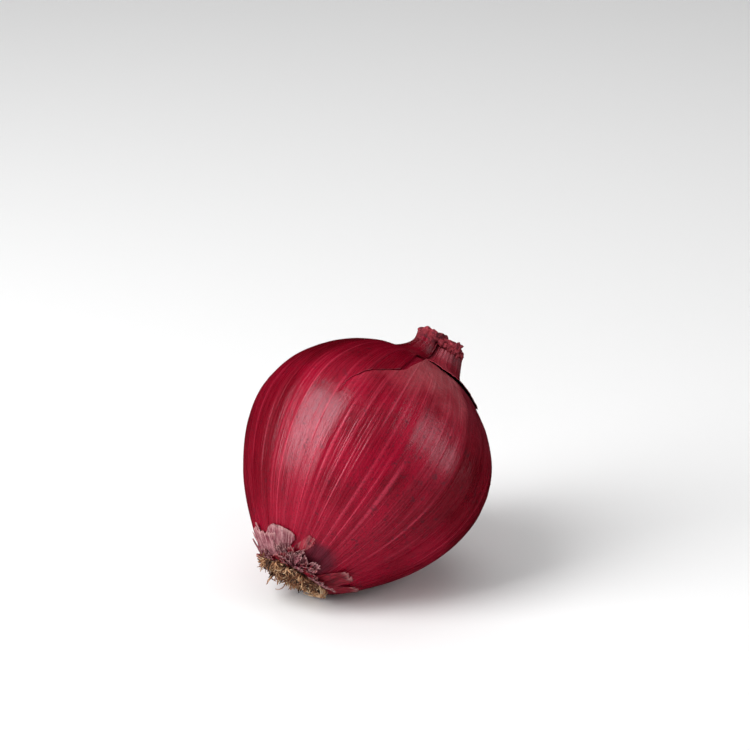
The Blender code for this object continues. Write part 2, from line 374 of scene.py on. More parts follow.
class Graph:
    """The node tree of one material."""

    def __init__(self, name):
        self.material = bpy.data.materials.new(name)
        self.material.use_nodes = True
        self.tree = self.material.node_tree
        self.shader = self.tree.nodes["Principled BSDF"]

    def node(self, kind, settings, inputs, output=0):
        """Adds a node: its settings first, then the values or links of its sockets."""
        made = self.tree.nodes.new(kind)
        for name, value in settings.items():
            setattr(made, name, value)
        for key, value in inputs.items():
            self.put(made.inputs[key], value)
        return Wire(self, made.outputs[output])

    def put(self, socket, value):
        if isinstance(value, Wire):
            self.tree.links.new(value.socket, socket)
        else:
            socket.default_value = value

    def surface(self, **values):
        """Sets the shader's own sockets, named with underscores for spaces."""
        for name, value in values.items():
            self.put(self.shader.inputs[name.replace("_", " ")], value)

    def attribute(self, name, output="Vector"):
        return self.node("ShaderNodeAttribute", {"attribute_name": name}, {}, output)

    def objects(self):
        return self.node("ShaderNodeTexCoord", {}, {}, "Object")

    def scaled(self, vector, by):
        return self.node("ShaderNodeVectorMath", {"operation": "MULTIPLY"}, {0: vector, 1: by})

    def part(self, vector, axis):
        return self.node("ShaderNodeSeparateXYZ", {}, {0: vector}, axis)

    def distance(self, vector, point):
        return self.node("ShaderNodeVectorMath", {"operation": "DISTANCE"}, {0: vector, 1: point}, "Value")

    def noise(self, vector, scale, detail=2.0, rough=0.5, distort=0.0):
        inputs = {"Vector": vector, "Scale": scale, "Detail": detail, "Roughness": rough}
        return self.node("ShaderNodeTexNoise", {}, {**inputs, "Distortion": distort})

    def mix(self, share, one, other):
        return self.node("ShaderNodeMix", {"data_type": "RGBA"}, {0: share, 6: one, 7: other}, 2)

    def shade(self, share, colour, by):
        """The colour multiplied by another, by a share."""
        settings = {"data_type": "RGBA", "blend_type": "MULTIPLY"}
        return self.node("ShaderNodeMix", settings, {0: share, 6: colour, 7: by}, 2)

    def layers(self, colour, *coats):
        """The colour with others laid over it in turn, each by a share."""
        for share, other in coats:
            colour = self.mix(share, colour, other)
        return colour

    def bump(self, height, distance):
        return self.node("ShaderNodeBump", {}, {"Height": height, "Distance": distance, "Strength": 1.0})


def grey(level):
    return (level, level, level, 1.0)


def skin_pattern(graph):
    """The masks that every dry skin shares. The lines run along the growth axis, from root to neck."""
    growth = graph.attribute("growth")
    place = graph.objects()

    def lines(scale, stretch, detail=1.0, rough=0.5):
        return graph.noise(graph.scaled(growth, (1.0, 1.0, stretch)), scale, detail, rough)

    def veins(count, wander, half_width):
        """Lines of even width round the bulb, count of them, each a little off its place."""
        turns = turn * (count / (2 * math.pi)) + lines(4.0, 0.05) * wander
        return abs(turns.math("FRACT", turns) - 0.5).ramp(0.5 - half_width, 0.5)

    ahead, aside = graph.part(growth, 0), graph.part(growth, 1)
    turn = aside.math("ARCTAN2", aside, ahead)
    strong = lines(9.5, 0.11).ramp(0.44, 0.68)
    return {
        "growth": growth,
        "height": graph.part(growth, 2),
        "band": lines(5.5, 0.07, 2.0).ramp(0.34, 0.66),
        "main": veins(62, 2.2, 0.14) * (0.10 + 0.90 * strong),
        "second": veins(171, 5.0, 0.28) * lines(15.0, 0.14).ramp(0.42, 0.70),
        "hair": lines(75.0, 0.05, 3.0, 0.65),
        "blotch": graph.noise(place, 75.0, 3.0, 0.55),
        "stipple": graph.noise(place, 1900.0, 2.0, 0.6),
        "speckle": graph.noise(place, 620.0, 1.0, 0.6),
        "field": graph.noise(place, 120.0, 2.0),
    }


def skin_material(name, look, rough, coat=0.0, dry=0.0, painted_upper_shade=0.0):
    """Dry onion skin. dry is how grey its colour gets towards the neck; the last argument is how much painted
    shade darkens the upper skin towards the neck.
    """
    graph = Graph(name)
    masks = skin_pattern(graph)
    growth, height, hair = masks["growth"], masks["height"], masks["hair"]
    specks = masks["speckle"].ramp(0.60, 0.70) * masks["field"].ramp(0.44, 0.62)
    neckward = height.ramp(0.15, 0.80) * masks["blotch"].ramp(0.28, 0.62)
    rootward = height.ramp(-1.02, -1.18) * masks["field"].ramp(0.35, 0.60)
    fade = height.ramp(0.95, 0.25) * 0.6 + 0.4
    stain = growth_of(math.radians(FACE + STAIN[0]), STAIN[1] * STAIN_STRETCH * BULB_RADIUS)
    off_stain = graph.distance(graph.scaled(growth, (1.0, 1.0, STAIN_STRETCH)), stain)
    colour = graph.layers(
        graph.mix(masks["blotch"].ramp(0.34, 0.66), look.deep, look.bright),
        (masks["band"] * 0.30, look.band),
        (hair.ramp(0.40, 0.72) * 0.45, look.band),
        (masks["second"] * (0.26 * look.vein_strength), look.vein),
        (masks["main"] * fade * (0.62 * look.vein_strength), look.vein),
        (masks["stipple"].ramp(0.48, 0.72) * 0.55, look.speck),
        (specks * 0.55, look.speck),
        (neckward * dry, look.dry),
        (hair.ramp(0.46, 0.66) * neckward * (0.45 * dry), look.flake_pale),
        (rootward * 0.5, look.stain),
        ((off_stain + masks["field"] * 0.25).ramp(0.56, 0.34) * 0.8, look.stain),
        # Painted highlight: a pale line of vein colour along the free edges of the sheets.
        (graph.attribute("edge", "Fac").ramp(0.988, 1.0) * 0.6, look.vein),
    )
    # Painted shade: sectors at the left and right sides of the bulb are darkened.
    for degrees, half_width, low, depth in PAINTED_SHADE_SECTORS:
        middle = growth_of(math.radians(FACE + degrees), 0.0)
        away = graph.distance(graph.scaled(growth, (1.0, 1.0, 0.0)), middle) + masks["field"] * 0.12
        chord = 2 * math.sin(math.radians(half_width) / 2) + 0.06
        share = away.ramp(chord + 0.08, chord - 0.06) * (height.ramp(low, low + 0.5) * depth)
        colour = graph.shade(share, colour, look.shade)
    # Painted shade: the upper skin is darkened towards the neck.
    colour = graph.shade(height.ramp(0.10, 0.45) * painted_upper_shade, colour, look.shade)
    wrinkles = graph.noise(graph.scaled(growth, (1.0, 1.0, 2.6)), 15.0, 2.0, 0.5, 0.6)
    bumps = masks["main"] * 0.5 + masks["second"] * 0.35 + hair * 1.1 + masks["stipple"] * 0.5
    graph.surface(
        Base_Color=colour,
        Roughness=rough + hair * 0.30 - 0.15 + specks * 0.12 + neckward * (0.14 * dry),
        Specular_IOR_Level=look.shine,
        Specular_Tint=look.gloss,
        Normal=graph.bump(bumps + wrinkles * (neckward * (8.0 * dry)), 0.00010),
        Coat_Weight=coat,
        Coat_Roughness=0.2,
    )
    return graph.material


def flake_material(name, look, deep, pale, solid, rim):
    """Thin loose skin at the root end. solid is how little shows through it, and rim how pale its edge is."""
    graph = Graph(name)
    masks = skin_pattern(graph)
    fibres = graph.noise(graph.scaled(masks["growth"], (1.0, 1.0, 0.25)), 38.0, 3.0, 0.65)
    tip = graph.attribute("edge", "Fac")
    colour = graph.layers(
        graph.mix(fibres.ramp(0.40, 0.62), deep, pale),
        (tip.ramp(0.80, 1.0) * rim, look.flake_edge),
        (masks["speckle"].ramp(0.56, 0.68) * 0.5, look.stain),
        (masks["stipple"].ramp(0.50, 0.70) * 0.4, look.stain),
    )
    graph.surface(
        Base_Color=colour,
        Roughness=0.44 + fibres * 0.2,
        Specular_IOR_Level=look.shine,
        Alpha=solid + masks["field"].ramp(0.30, 0.60) * (1.0 - solid),
        Normal=graph.bump(fibres + masks["stipple"] * 0.3, 0.00015),
    )
    return graph.material


def crest_material(look):
    """The crushed end of the neck: rusty crimson with paler crumbs on the edges."""
    graph = Graph("crushed neck")
    place = graph.objects()
    masks = skin_pattern(graph)
    crumbs = graph.noise(place, 900.0, 3.0, 0.65)
    patch = graph.noise(place, 260.0)
    tip = graph.attribute("edge", "Fac")
    colour = graph.layers(
        graph.mix(patch.ramp(0.38, 0.62), look.neck_deep, look.neck_rust),
        (masks["second"] * 0.35, look.vein),
        (crumbs.ramp(0.50, 0.66) * tip.ramp(0.55, 0.95), look.neck_crumb),
        # Painted shade: the low parts of the crumb relief are darkened.
        (crumbs.ramp(0.45, 0.34) * 0.7, look.speck),
    )
    graph.surface(
        Base_Color=colour,
        Roughness=0.52 + crumbs * 0.25,
        Specular_IOR_Level=look.shine,
        Specular_Tint=look.gloss,
        Normal=graph.bump(crumbs * 0.8 + masks["hair"] * 0.6, 0.0004),
    )
    return graph.material


def root_material(name, pale, dark, look):
    graph = Graph(name)
    place = graph.objects()
    grain = graph.noise(place, 1400.0, 3.0, 0.6)
    strand = graph.noise(place, 420.0, 1.0)
    colour = graph.mix(strand.ramp(0.35, 0.65), dark, pale)
    colour = graph.mix(grain.ramp(0.52, 0.70) * 0.5, colour, look.soil)
    graph.surface(Base_Color=colour, Roughness=0.78, Normal=graph.bump(grain, 0.0002))
    return graph.material


def turned(profile, faces):
    """A mesh made by turning a line of points round the growth axis, with that many faces round it."""
    bm = bmesh.new()
    line = [bm.verts.new(point) for point in profile]
    edges = [bm.edges.new(pair) for pair in zip(line, line[1:])]
    axis = {"cent": (0, 0, 0), "axis": (0, 0, 1), "angle": 2 * math.pi}
    bmesh.ops.spin(bm, geom=line + edges, steps=faces, use_merge=True, **axis)
    bmesh.ops.remove_doubles(bm, verts=bm.verts, dist=MERGE)
    return bm


def added(name, data):
    """A new object in the scene, with that data."""
    made = bpy.data.objects.new(name, data)
    bpy.context.scene.collection.objects.link(made)
    return made


def piece_from(bm, name, replaces, materials):
    """Makes a piece of a bmesh, shaded smooth, that rides on the onion and stands for a node."""
    mesh = bpy.data.meshes.new(name)
    bm.to_mesh(mesh)
    bm.free()
    for material in materials:
        mesh.materials.append(material)
    mesh.shade_smooth()
    piece = added(name, mesh)
    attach(piece, "root")
    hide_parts(replaces)
    return piece


def growth_of(turn, height):
    """Where on the skin a point grew, for the materials."""
    return around(turn, height / BULB_RADIUS)


def skin_sheet(name, columns, rows, place, material, thickness=SKIN):
    """A sheet of dry skin.

    place takes (across, along), each from 0 to 1, and gives (degrees from FACE, height, point): where on the
    skin it grew and where it is in the growth frame. Across runs round the bulb.
    """
    bm = bmesh.new()
    bmesh.ops.create_grid(bm, x_segments=columns, y_segments=rows, size=0.5)
    growth = bm.verts.layers.float_vector.new("growth")
    edge = bm.verts.layers.float.new("edge")
    for vert in bm.verts:
        across, along = vert.co.x + 0.5, vert.co.y + 0.5
        degrees, height, point = place(across, along)
        vert[growth] = growth_of(math.radians(FACE + degrees), height)
        vert[edge] = along
        vert.co = on_floor(point)
    bm.normal_update()
    axis = LAID.to_3x3() @ Vector((0, 0, 1))
    facing = 0.0
    for face in bm.faces:
        inwards = (face.calc_center_median() - RING_CENTRE).cross(axis).cross(axis)
        facing += face.normal.dot(inwards) * face.calc_area()
    if facing > 0:
        bmesh.ops.reverse_faces(bm, faces=bm.faces)
    piece = piece_from(bm, name, "bulb", [material])
    wall = piece.modifiers.new("Thickness", "SOLIDIFY")
    wall.thickness = thickness
    wall.offset = -1.0


def tear_at(tear, height):
    """Degrees from FACE of a tear at a height, with the small steps of torn dry skin."""
    heights, degrees = zip(*tear)
    up = height / BULB_RADIUS
    jag = wobble(up * 17, 2.0, 0.3) * 0.7 + wobble(up * 60, 2.0, 0.3) * 0.3
    return float(np.interp(up, heights, degrees)) + jag


def make_body(look):
    """The body of the bulb with its neck, in the glossy skin that shows where the outer one is torn away."""
    bm = turned(side_line(BODY_STEPS), BODY_FACES)
    growth = bm.verts.layers.float_vector.new("growth")
    edge = bm.verts.layers.float.new("edge")
    for vert in bm.verts:
        height, turn = vert.co.z, math.atan2(vert.co.y, vert.co.x)
        out = outwards(turn, height)
        neck = rise(0.90, 1.03, height)
        thin_rim = math.exp(-(((from_face(turn) + 45) / 45) ** 2))
        vert[growth] = growth_of(turn, height)
        vert[edge] = neck * (1 - 0.6 * thin_rim * rise(1.06, 1.0, height))
        place = grown(vert.co) - out * recess(height) * (1 - neck)
        place += crumple(place, 0.0020, 0.0004 * neck)
        vert.co = LAID @ place
        vert.co.z = max(vert.co.z, 0.0)
    bmesh.ops.recalc_face_normals(bm, faces=bm.faces)
    crushed = crest_material(look)
    glossy = skin_material("glossy under skin", look, rough=0.29)
    body = piece_from(bm, "onion_body", "bulb", [glossy, crushed])
    for face in body.data.polygons:
        values = [body.data.attributes["edge"].data[n].value for n in face.vertices]
        face.material_index = int(min(values) > CRUSHED_FROM)


def make_outer_skins(look):
    """The layers over the shoulder: the dull outer skin, and two red ones that its tear uncovers."""

    def sunk(height):
        return 0.0002 * (1 - rise(-0.15, 0.15, height))

    def outer(across, along):
        height = BULB_RADIUS * (-0.2 + 1.16 * along)
        near, far = tear_at(OUTER_TEAR, height), 210 + 5 * wobble(along * 7, 1, 1)
        degrees = near + (far - near) * across
        upper = rise(0.05, 0.45, height)
        free = math.exp(-(degrees - near) / 2.6) * upper
        curl = 0.00022 * free * (1 + 0.8 * wobble(along * 26, 0, 5))
        return degrees, height, spot(degrees, height, curl - sunk(height))

    def second(across, along):
        height = BULB_RADIUS * (-0.2 + 1.22 * along)
        near, far = tear_at(SECOND_TEAR, height), -168
        degrees = far + (near - far) * across
        upper = rise(0.35, 0.6, height)
        free = math.exp(-(near - degrees) / 2.2) * upper
        depth = SECOND_SKIN_DEPTH * rise(-0.1, 0.4, height)
        sheath = 0.0006 * rise(0.74, 0.92, height)
        return degrees, height, spot(degrees, height, (0.0003 + sheath) * free - depth - sunk(height))

    def shoulder(across, along):
        height = BULB_RADIUS * (-0.2 + 1.22 * across)
        jag = 0.5 * wobble(across * 15, 4.0, 0.3) + 0.2 * wobble(across * 70, 4.0, 0.3)
        near = min(-20.6 + jag, tear_at(SECOND_TEAR, height))
        risen = rise(-0.1, 0.4, height)
        depth = 0.00004 + 0.00006 * risen + 0.00025 * (1 - smoothstep(0.1, 0.6, along))
        return near - 50 * (1 - along), height, spot(near - 50 * (1 - along), height, -depth - sunk(height))

    dull = skin_material("dull outer skin", look, rough=0.29, dry=0.75)
    red = skin_material("red second skin", look, rough=0.28, painted_upper_shade=0.8)
    skin_sheet("outer_skin", 260, 130, outer, dull)
    skin_sheet("second_skin", 200, 130, second, red)
    skin_sheet("shoulder_skin", 150, 60, shoulder, red)


def make_collar(look):
    """The ridged skirt of skin on one side of the neck, with its free edge standing off the shoulder."""
    turns = (1, 20, 45, 62, 70, 82, 98)
    feet = (0.77, 0.715, 0.735, 0.71, 0.665, 0.69, 0.73)
    stands = (0.0, 0.0006, 0.0007, 0.0006, 0.0004, 0.0003, 0.0003)

    def place(across, along):
        degrees = 1 + 97 * across
        torn = 0.0004 * wobble(across * 9, 3, 0) + 0.0002 * wobble(across * 50, 3, 0)
        foot = float(np.interp(degrees, turns, feet)) * BULB_RADIUS + torn
        height = BULB_RADIUS * (1 - along) + foot * along
        ridges = math.sin(math.radians(degrees) * 64 + 3 * math.sin(across * 9)) * 0.00010
        stand = 0.0003 + float(np.interp(degrees, turns, stands)) * smoothstep(0.1, 0.9, along)
        return degrees, height, spot(degrees, height, stand + ridges * (1 - 0.4 * along))

    red = skin_material("ridged neck skin", look, rough=0.44, coat=0.05, dry=0.25, painted_upper_shade=0.1)
    skin_sheet("neck_collar", 190, 60, place, red)


def make_crest(look):
    """The crushed end of the neck: a rim that rolled outwards as it dried, and thin layers standing in it."""
    crushed = crest_material(look)
    turns = (-60, -20, 8, 30, 70, 100, 180, 300)
    sizes = (0.0005, 0.0006, 0.0010, 0.0013, 0.0018, 0.0015, 0.0010, 0.0005)
    insets = (0.0006, 0.0003, -0.0012, 0.0001, 0.0014, 0.0020, 0.0012, 0.0006)

    def roll(across, along):
        degrees = -60 + 360 * across
        turn = math.radians(FACE + degrees)
        step = on_skin(turn + 0.02, CREST_FOOT, 0) - on_skin(turn - 0.02, CREST_FOOT, 0)
        out = step.cross(Vector((0, 0, 1))).normalized()
        radius = float(np.interp(degrees, turns, sizes)) * (1 - 0.25 * along)
        bend = math.radians(175 - 330 * along)
        inset = float(np.interp(degrees, turns, insets))
        centre = on_skin(turn, CREST_FOOT, 0) - out * inset + Vector((0, 0, 0.0024 - 0.7 * radius))
        point = centre + (out * math.cos(bend) + Vector((0, 0, math.sin(bend)))) * radius
        point += crumple(point, 0.0016, 0.32 * radius) + crumple(point, 0.0006, 0.20 * radius)
        return degrees, CREST_FOOT + 0.002 * along, point

    def leaf(start, end, top, lift, curl, seed):
        def place(across, along):
            degrees = start + (end - start) * across
            ragged = 0.0009 * wobble(across * 6, seed, 0)
            ragged += 0.0003 * wobble(across * 24, seed, 2)
            height = CREST_FOOT + (top * BULB_RADIUS - CREST_FOOT + ragged) * along
            point = spot(degrees, min(height, CREST_HEIGHT), lift + curl * smoothstep(0.4, 1.0, along))
            point.z += max(0.0, height - CREST_HEIGHT)
            return degrees, height, point + crumple(point, 0.0014, 0.0003 * along)

        return place

    skin_sheet("crest_roll", 360, 40, roll, crushed, 0.00025)
    leaves = (
        (-60, 2, 1.05, -0.0009, 0.0002),
        (-40, 30, 1.04, -0.0014, 0.0000),
        (35, 88, 1.03, -0.0016, 0.0000),
        (110, 200, 1.12, 0.0001, 0.0004),
        (190, 296, 1.07, -0.0004, 0.0002),
    )
    for n, (start, end, top, lift, curl) in enumerate(leaves):
        place = leaf(start, end, top, lift, curl, 11.3 * n)
        skin_sheet(f"crest_leaf_{n + 1}", 90, 30, place, crushed, 0.0002)


def root_flap(outline, lift, curl, ragged, fine=0.5, cup=0.0):
    """A flap of old skin that grows up the bulb from the rim of the root plate.

    outline gives rows from the foot up, each a height in bulb radii and the degrees from FACE of its two
    sides. lift is how far its end stands off, curl how far the end rolls away from the bulb, ragged how torn
    it is, fine how much of that is in small teeth and cup how far its sides stand off.
    """
    heights, lefts, rights = zip(*outline)
    seed = lefts[0]

    def place(across, along):
        torn = wobble(across * 5.0, seed, 1.0) + fine * wobble(across * 21.0, seed, 1.0)
        reach = along * (1 - ragged * max(0.0, 0.5 + torn))
        up = heights[0] + (heights[-1] - heights[0]) * reach
        left, right = float(np.interp(up, heights, lefts)), float(np.interp(up, heights, rights))
        degrees = left + (right - left) * across
        buckle = 0.3 * lift * along * wobble(across * 4, along * 3, seed)
        stand = lift * reach**0.6 - 0.0001 * (1 - reach) + buckle + curl * smoothstep(0.55, 1.0, along)
        stand += cup * (2 * across - 1) ** 2 * smoothstep(0.0, 0.4, along)
        return degrees, up * BULB_RADIUS, spot(degrees, up * BULB_RADIUS, stand)

    return place


# Each flap's rows from the foot up (height in bulb radii, degrees from FACE of its two sides), then its lift,
# curl and raggedness
MAUVE_FLAPS = {
    "lobe": (
        (
            (-1.185, -70, -34),
            (-1.14, -66, -30),
            (-1.10, -62, -26),
            (-1.06, -57, -21),
            (-1.03, -52, -18.5),
            (-1.005, -47, -19.5),
            (-0.99, -43, -24),
            (-0.98, -39, -31),
        ),
        0.0007,
        0.0001,
        0.07,
    ),
    "fringe": (
        ((-1.185, -104, -52), (-1.12, -99, -46), (-1.08, -95, -42), (-1.025, -90, -40)),
        0.0005,
        0.0002,
        0.32,
    ),
    "spike": (
        ((-1.12, -76, -66), (-1.06, -73, -66.5), (-1.03, -71, -67), (-1.00, -69.5, -68)),
        0.0008,
        0.0003,
        0.1,
    ),
    "fold": (
        ((-1.185, -40, -12), (-1.15, -34, -14), (-1.12, -29, -17), (-1.095, -26, -20)),
        0.0009,
        0.0005,
        0.4,
    ),
    "back": (((-1.19, -134, -92), (-1.12, -130, -96), (-1.05, -126, -100)), 0.0009, 0.0003, 0.5),
    "far": (((-1.19, -180, -132), (-1.10, -176, -136), (-1.02, -168, -142)), 0.0010, 0.0003, 0.5),
}
FAINT_FLAPS = {
    "patch": (((-1.10, -20, -11), (-1.06, -17, -5), (-1.01, -12, -1), (-0.96, -8, -2)), 0.00025, 0.0, 0.1),
}
CRIMSON_FLAPS = {
    "sharp": (
        (
            (-1.19, 16, 60),
            (-1.15, 25, 59),
            (-1.10, 31, 57),
            (-1.06, 34, 55),
            (-1.03, 36, 52),
            (-1.01, 37, 46),
        ),
        0.0010,
        0.0006,
        0.10,
    ),
    "under": (
        ((-1.19, 52, 90), (-1.14, 57, 84), (-1.09, 62, 84), (-1.045, 68, 83), (-1.03, 71, 79)),
        0.0008,
        0.0003,
        0.2,
    ),
    "side": (((-1.19, -2, 22), (-1.16, 2, 25), (-1.135, 6, 26)), 0.0012, 0.0006, 0.5),
}


def make_root_flaps(look):
    """The torn old skin round the root plate, with a few large flaps and many small curled flakes."""
    mauve = flake_material("mauve flakes", look, look.flake_deep, look.flake_pale, 0.62, 0.5)
    faint = flake_material("faint flakes", look, look.band, look.dry, 0.5, 0.1)
    crimson = flake_material("crimson flakes", look, look.deep, look.band, 0.9, 0.45)
    for flaps, material in ((MAUVE_FLAPS, mauve), (FAINT_FLAPS, faint), (CRIMSON_FLAPS, crimson)):
        for name, shape in flaps.items():
            skin_sheet(f"root_flap_{name}", *FLAP_GRID, root_flap(*shape), material)
    rng = random.Random(FLAKE_SEED)
    for n in range(BACK_FLAKES + FACE_FLAKES):
        near = n >= BACK_FLAKES
        turn = rng.uniform(-36, 12) if near else rng.uniform(-175, 50)
        wide = rng.uniform(3.5, 8) if near else rng.uniform(5, 10)
        foot = PLATE + (rng.uniform(0, 0.03) if near else 0)
        top = rng.uniform(0.05, 0.13) if near else rng.uniform(0.025, 0.065)
        lean = rng.uniform(-9, 12)
        tip = rng.uniform(0.3, 0.8)
        head = turn + lean
        outline = ((foot, turn - wide, turn + wide), (foot + top, head - tip * wide, head + tip * wide))
        lift, curl = rng.uniform(0.0005, 0.0018), rng.uniform(0.0002, 0.0011)
        place = root_flap(outline, lift, curl, 0.4, 0.12, rng.uniform(0.0002, 0.0008))
        skin_sheet(f"root_flake_{n + 1:02d}", *FLAKE_GRID, place, rng.choice((mauve, mauve, crimson)))


def make_root_plate(look):
    """The corky plate that the roots grow from."""
    top = PLATE_HEIGHT + 0.0004
    bends = [math.pi / 2 * n / PLATE_STEPS for n in range(PLATE_STEPS + 1)]
    profile = [(PLATE_RADIUS * math.sin(bend), 0, top - PLATE_BULGE * math.cos(bend)) for bend in bends]
    bm = turned(profile, PLATE_FACES)
    rim = [edge for edge in bm.edges if edge.is_boundary]
    bmesh.ops.contextual_create(bm, geom=rim)
    for vert in bm.verts:
        vert.co = on_floor(vert.co + crumple(vert.co, 0.0018, 0.0005))
    bmesh.ops.recalc_face_normals(bm, faces=bm.faces)
    cork = root_material("root plate", look.root_brown, look.soil, look)
    piece_from(bm, "root_plate", "root_tuft", [cork])


def any_way(rng):
    return Vector((rng.gauss(0, 1), rng.gauss(0, 1), rng.gauss(0, 1)))


def root_path(rng, length, turn, spread, curl_rate, stray):
    """The path of one dried root, clear of the bulb and the floor. A stray one lies across the others."""
    away = around(turn)
    foot = away * spread * TUFT_RADIUS + around(TUFT_SIDE) * TUFT_SHIFT
    radius = foot.length
    foot.z = float(np.interp(radius, RADII[:40], HEIGHTS[:40])) - 0.0004
    heading = (away * (0.25 + 1.3 * spread) + Vector((0, 0, -1))).normalized()
    if stray:
        sideways = Vector((-away.y, away.x, 0)) * rng.choice((-1, 1))
        heading = (sideways - away * 0.4 + Vector((0, 0, -0.5))).normalized()
    curl = any_way(rng).normalized()
    path = [foot]
    for _ in range(ROOT_STEPS):
        point = path[-1] + heading * (length / ROOT_STEPS)
        point.z = min(point.z, foot.z + 0.0003)
        path.append(point)
        curl = (curl + any_way(rng) * 0.35).normalized()
        heading = (heading + curl.cross(heading) * curl_rate).normalized()
    return [on_floor(place, ROOT_GAP) for place in path]


def add_root(line, path, material, slim):
    """Adds a root that gets thinner along its path."""
    spline = line.splines.new("POLY")
    spline.points.add(len(path) - 1)
    spline.material_index = material
    for n, (point, place) in enumerate(zip(spline.points, path)):
        point.co = (*place, 1.0)
        point.radius = slim * (1.1 - 0.75 * n / (len(path) - 1))


def wisp_path(rng):
    """The path of a thin root that lies round the lower edge of the plate, under the loose skin."""
    start, sweep = rng.uniform(85, 150), rng.uniform(25, 65)
    radius, drop = rng.uniform(0.0070, 0.0092), rng.uniform(0.0004, 0.0016)
    path = []
    for n in range(ROOT_STEPS + 1):
        share = n / ROOT_STEPS
        turn = math.radians(FACE + start - sweep * share)
        point = around(turn) * (radius + 0.0016 * share)
        point.z = PLATE_HEIGHT - drop * (1 - 0.6 * share)
        path.append(on_floor(point + crumple(point, 0.004, 0.0008), ROOT_GAP))
    return path


def make_roots(settings, look):
    """The dried roots, in three shades, as one piece."""
    line = bpy.data.curves.new("roots", "CURVE")
    line.dimensions = "3D"
    line.bevel_depth = settings.thickness / 2
    line.bevel_resolution = 1
    line.use_fill_caps = True
    for material in (
        root_material("tan roots", look.root_tan, look.root_brown, look),
        root_material("brown roots", look.root_brown, look.soil, look),
        root_material("pale roots", look.root_pale, look.root_tan, look),
    ):
        line.materials.append(material)
    rng = random.Random(ROOT_SEED)
    for _ in range(settings.count):
        spread = math.sqrt(rng.uniform(0.01, 1.0))
        turn = rng.uniform(0, 2 * math.pi)
        short = 1 - 0.6 * spread * max(0.0, math.cos(turn - math.radians(FACE + 105)))
        length = settings.length * rng.uniform(0.55, 1.25) * short
        curl_rate = rng.uniform(0.12, 0.45)
        stray = rng.random() < 0.05
        if stray:
            length, curl_rate = 1.9 * length, 0.35
        path = root_path(rng, length, turn, spread, curl_rate, stray)
        add_root(line, path, rng.choice((0, 0, 0, 1, 1, 1, 2)), rng.uniform(0.55, 1.15))
    for _ in range(WISPS):
        add_root(line, wisp_path(rng), rng.choice((0, 2, 2)), rng.uniform(0.4, 0.7))
    curve = added("roots", line)
    bpy.context.view_layer.update()
    graph = bpy.context.evaluated_depsgraph_get()
    bm = bmesh.new()
    mesh = bpy.data.meshes.new_from_object(curve.evaluated_get(graph))
    bm.from_mesh(mesh)
    bpy.data.objects.remove(curve)
    bmesh.ops.recalc_face_normals(bm, faces=bm.faces)
    piece_from(bm, "dried_roots", "root_tuft", list(mesh.materials))


def looking(azimuth, elevation):
    """The direction from the onion to a camera at that azimuth and elevation."""
    azimuth, elevation = math.radians(azimuth), math.radians(elevation)
    flat = math.cos(elevation)
    return Vector((math.sin(azimuth) * flat, -math.cos(azimuth) * flat, math.sin(elevation)))


def make_floor():
    bm = bmesh.new()
    bmesh.ops.create_grid(bm, x_segments=1, y_segments=1, size=FLOOR_REACH)
    mesh = bpy.data.meshes.new("floor")
    bm.to_mesh(mesh)
    bm.free()
    graph = Graph("pale floor")
    graph.surface(Base_Color=grey(0.86), Roughness=0.6)
    mesh.materials.append(graph.material)
    floor = added("floor", mesh)
    floor.visible_glossy = False


def make_light(name, toward, distance, size, radiance):
    """A soft box that hangs in a direction from the onion and looks at it."""
    data = bpy.data.lights.new(name, "AREA")
    data.shape = "RECTANGLE"
    data.size, data.size_y = size
    data.energy = math.pi * size[0] * size[1] * radiance
    light = added(name, data)
    light.location = RING_CENTRE + toward.normalized() * distance
    light.rotation_euler = toward.to_track_quat("Z", "Y").to_euler()
    return light


def make_camera(stage, back, right, up):
    """The camera, aimed so that the widest ring's centre falls on its pixel of the photograph."""
    lens_distance = stage.camera_distance
    across, down = stage.ring_pixel[0] - stage.photo_size / 2, stage.ring_pixel[1] - stage.photo_size / 2
    aim = RING_CENTRE - right * (across / stage.pixels_per_metre) + up * (down / stage.pixels_per_metre)
    data = bpy.data.cameras.new("camera")
    data.sensor_width = 36.0
    data.lens = data.sensor_width * lens_distance * stage.pixels_per_metre / stage.photo_size
    data.clip_start = 0.01
    camera = added("camera", data)
    camera.location = aim + back * lens_distance
    camera.rotation_euler = back.to_track_quat("Z", "Y").to_euler()
    bpy.context.scene.camera = camera


# Each soft box: where it hangs as shares of right, up and back, how far off it is, its two sides, the setting
# with its radiance, and whether the skin mirrors it
BOXES = {
    "front box": ((0.10, 0.50, 0.80), 1.1, (0.8, 0.7), "front_light", False),
    "left box": ((-0.72, 0.43, 0.54), 0.9, (0.50, 1.05), "key_light", True),
    "right box": ((0.88, 0.18, 0.42), 1.0, (0.42, 0.8), "side_light", True),
    "top box": ((0.0, 0.95, -0.10), 1.1, (1.2, 1.0), "top_light", False),
}


def make_stage(stage):
    """Floor, camera and studio lights, placed from the camera's own directions."""
    back = looking(stage.azimuth, stage.elevation)
    right = Vector((0, 0, 1)).cross(back).normalized()
    up = back.cross(right)
    make_floor()
    make_camera(stage, back, right, up)
    for name, (shares, distance, size, radiance, mirrored) in BOXES.items():
        toward = right * shares[0] + up * shares[1] + back * shares[2]
        light = make_light(name, toward, distance, size, getattr(stage, radiance))
        light.visible_glossy = mirrored
    world = bpy.data.worlds.new("studio")
    world.use_nodes = True
    world.node_tree.nodes["Background"].inputs["Color"].default_value = grey(1.0)
    world.node_tree.nodes["Background"].inputs["Strength"].default_value = stage.room_light
    world.cycles_visibility.glossy = False
    bpy.context.scene.world = world
    bpy.context.scene.view_settings.view_transform = "Standard"


def tint(name, description, default):
    return FloatVectorProperty(
        name=name, description=description, subtype="COLOR", size=4, min=0.0, max=1.0, default=(*default, 1.0)
    )


